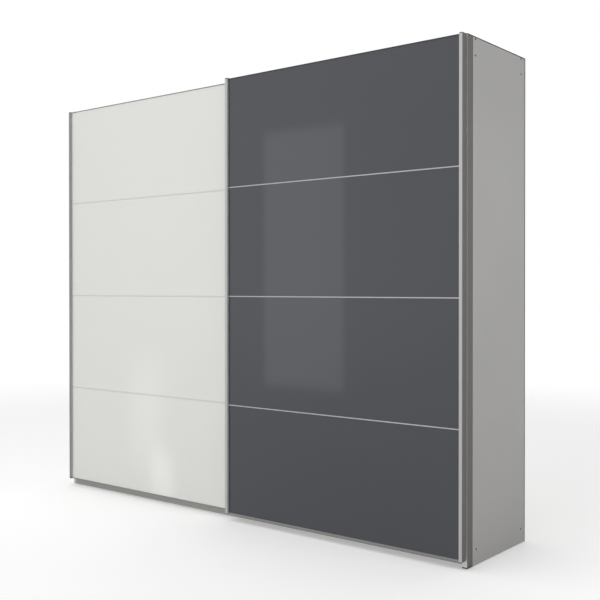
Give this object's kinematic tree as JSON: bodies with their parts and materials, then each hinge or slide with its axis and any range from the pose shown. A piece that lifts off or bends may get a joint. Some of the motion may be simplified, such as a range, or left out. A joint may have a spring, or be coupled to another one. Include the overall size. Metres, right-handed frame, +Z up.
{
  "type": "sliding door wardrobe",
  "caption": "Tall wide wardrobe with two hanging sliding doors, one of white panels and one of grey glass panels, over a carcass with shelves and hanging rails.",
  "frame": {"origin": "on the floor, below the middle of the wardrobe's whole box, doors closed", "axes": "+X along the width to the right as seen from the front, +Y towards the back, +Z up"},
  "size_m": [2.71, 0.62, 2.3],
  "materials": {
    "carcass_white": "melamine-faced board, matt pearl",
    "back_board": "lacquered hardboard",
    "aluminium_bright": "natural anodised, fine brushed",
    "aluminium_grey": "natural anodised, matt",
    "glass_grey": "back-painted grey glass, glossy",
    "panel_white": "white lacquered, satin gloss",
    "backing": "foil-faced particle board",
    "steel": "zinc-plated",
    "wheel_plastic": "nylon",
    "plastic_grey": "moulded, matt",
    "plastic_white": "moulded, matt",
    "rubber_dark": "matt"
  },
  "bodies": {
    "carcass": {"back_joint_strips": "plastic_white", "back_sheet_1": "back_board", "back_sheet_2": "back_board", "back_sheet_3": "back_board", "back_sheet_4": "back_board", "base_panel_left": "carcass_white", "base_panel_right": "carcass_white", "connector_bolts": "steel", "end_stops": "rubber_dark", "floor_glides": "plastic_white", "guide_rail": "aluminium_grey", "hanging_rail_left": "aluminium_bright", "hanging_rail_right": "aluminium_bright", "hanging_rail_supports": "plastic_grey", "hat_shelf_left": "carcass_white", "hat_shelf_right": "carcass_white", "middle_partition": "carcass_white", "rail_end_plates": "steel", "rear_plinths": "carcass_white", "rear_stretchers": "carcass_white", "running_rail": "aluminium_grey", "shelf_pins": "steel", "side_panel_left": "carcass_white", "side_panel_right": "carcass_white", "side_trim": "aluminium_grey", "side_trim_caps": "plastic_grey", "top_panel_left": "carcass_white", "top_panel_right": "carcass_white"},
    "front_door": {"front_door_backing_board": "backing", "front_door_bottom_profile": "aluminium_bright", "front_door_carriages": "steel", "front_door_dividers": "aluminium_bright", "front_door_guide_shoes": "plastic_grey", "front_door_panel_1": "glass_grey", "front_door_panel_2": "glass_grey", "front_door_panel_3": "glass_grey", "front_door_panel_4": "glass_grey", "front_door_stile_left": "aluminium_bright", "front_door_stile_right": "aluminium_bright", "front_door_top_profile": "aluminium_bright"},
    "front_door_wheel_1": {"front_door_wheel_1": "wheel_plastic"},
    "front_door_wheel_2": {"front_door_wheel_2": "wheel_plastic"},
    "front_door_wheel_3": {"front_door_wheel_3": "wheel_plastic"},
    "front_door_wheel_4": {"front_door_wheel_4": "wheel_plastic"},
    "rear_door": {"rear_door_backing_board": "backing", "rear_door_bottom_profile": "aluminium_bright", "rear_door_carriages": "steel", "rear_door_dividers": "aluminium_bright", "rear_door_guide_shoes": "plastic_grey", "rear_door_panel_1": "panel_white", "rear_door_panel_2": "panel_white", "rear_door_panel_3": "panel_white", "rear_door_panel_4": "panel_white", "rear_door_stile_left": "aluminium_bright", "rear_door_stile_right": "aluminium_bright", "rear_door_top_profile": "aluminium_bright"},
    "rear_door_wheel_1": {"rear_door_wheel_1": "wheel_plastic"},
    "rear_door_wheel_2": {"rear_door_wheel_2": "wheel_plastic"},
    "rear_door_wheel_3": {"rear_door_wheel_3": "wheel_plastic"},
    "rear_door_wheel_4": {"rear_door_wheel_4": "wheel_plastic"}
  },
  "joints": [
    {"name": "front_door_slide", "type": "slide", "parent": "carcass", "child": "front_door", "axis": [1, 0, 0], "range_m": [-1.341, 0]},
    {"name": "rear_door_slide", "type": "slide", "parent": "carcass", "child": "rear_door", "axis": [1, 0, 0], "range_m": [0, 1.31]},
    {"name": "front_door_wheel_1_spin", "type": "hinge", "parent": "front_door", "child": "front_door_wheel_1", "pos_m": [0.04, -0.197, 2.2603], "axis": [0, 1, 0], "range_deg": [-5140, 10]},
    {"name": "front_door_wheel_2_spin", "type": "hinge", "parent": "front_door", "child": "front_door_wheel_2", "pos_m": [0.12, -0.197, 2.2603], "axis": [0, 1, 0], "range_deg": [-5140, 10]},
    {"name": "front_door_wheel_3_spin", "type": "hinge", "parent": "front_door", "child": "front_door_wheel_3", "pos_m": [1.221, -0.197, 2.2603], "axis": [0, 1, 0], "range_deg": [-5140, 10]},
    {"name": "front_door_wheel_4_spin", "type": "hinge", "parent": "front_door", "child": "front_door_wheel_4", "pos_m": [1.301, -0.197, 2.2603], "axis": [0, 1, 0], "range_deg": [-5140, 10]},
    {"name": "rear_door_wheel_1_spin", "type": "hinge", "parent": "rear_door", "child": "rear_door_wheel_1", "pos_m": [-1.301, -0.197, 2.2053], "axis": [0, 1, 0], "range_deg": [-10, 5020]},
    {"name": "rear_door_wheel_2_spin", "type": "hinge", "parent": "rear_door", "child": "rear_door_wheel_2", "pos_m": [-1.221, -0.197, 2.2053], "axis": [0, 1, 0], "range_deg": [-10, 5020]},
    {"name": "rear_door_wheel_3_spin", "type": "hinge", "parent": "rear_door", "child": "rear_door_wheel_3", "pos_m": [-0.12, -0.197, 2.2053], "axis": [0, 1, 0], "range_deg": [-10, 5020]},
    {"name": "rear_door_wheel_4_spin", "type": "hinge", "parent": "rear_door", "child": "rear_door_wheel_4", "pos_m": [-0.04, -0.197, 2.2053], "axis": [0, 1, 0], "range_deg": [-10, 5020]}
  ],
  "couplings": [
    {"joint": "front_door_wheel_1_spin", "follows": "front_door_slide", "rad_per_m": 66.667},
    {"joint": "front_door_wheel_2_spin", "follows": "front_door_slide", "rad_per_m": 66.667},
    {"joint": "front_door_wheel_3_spin", "follows": "front_door_slide", "rad_per_m": 66.667},
    {"joint": "front_door_wheel_4_spin", "follows": "front_door_slide", "rad_per_m": 66.667},
    {"joint": "rear_door_wheel_1_spin", "follows": "rear_door_slide", "rad_per_m": 66.667},
    {"joint": "rear_door_wheel_2_spin", "follows": "rear_door_slide", "rad_per_m": 66.667},
    {"joint": "rear_door_wheel_3_spin", "follows": "rear_door_slide", "rad_per_m": 66.667},
    {"joint": "rear_door_wheel_4_spin", "follows": "rear_door_slide", "rad_per_m": 66.667}
  ]
}
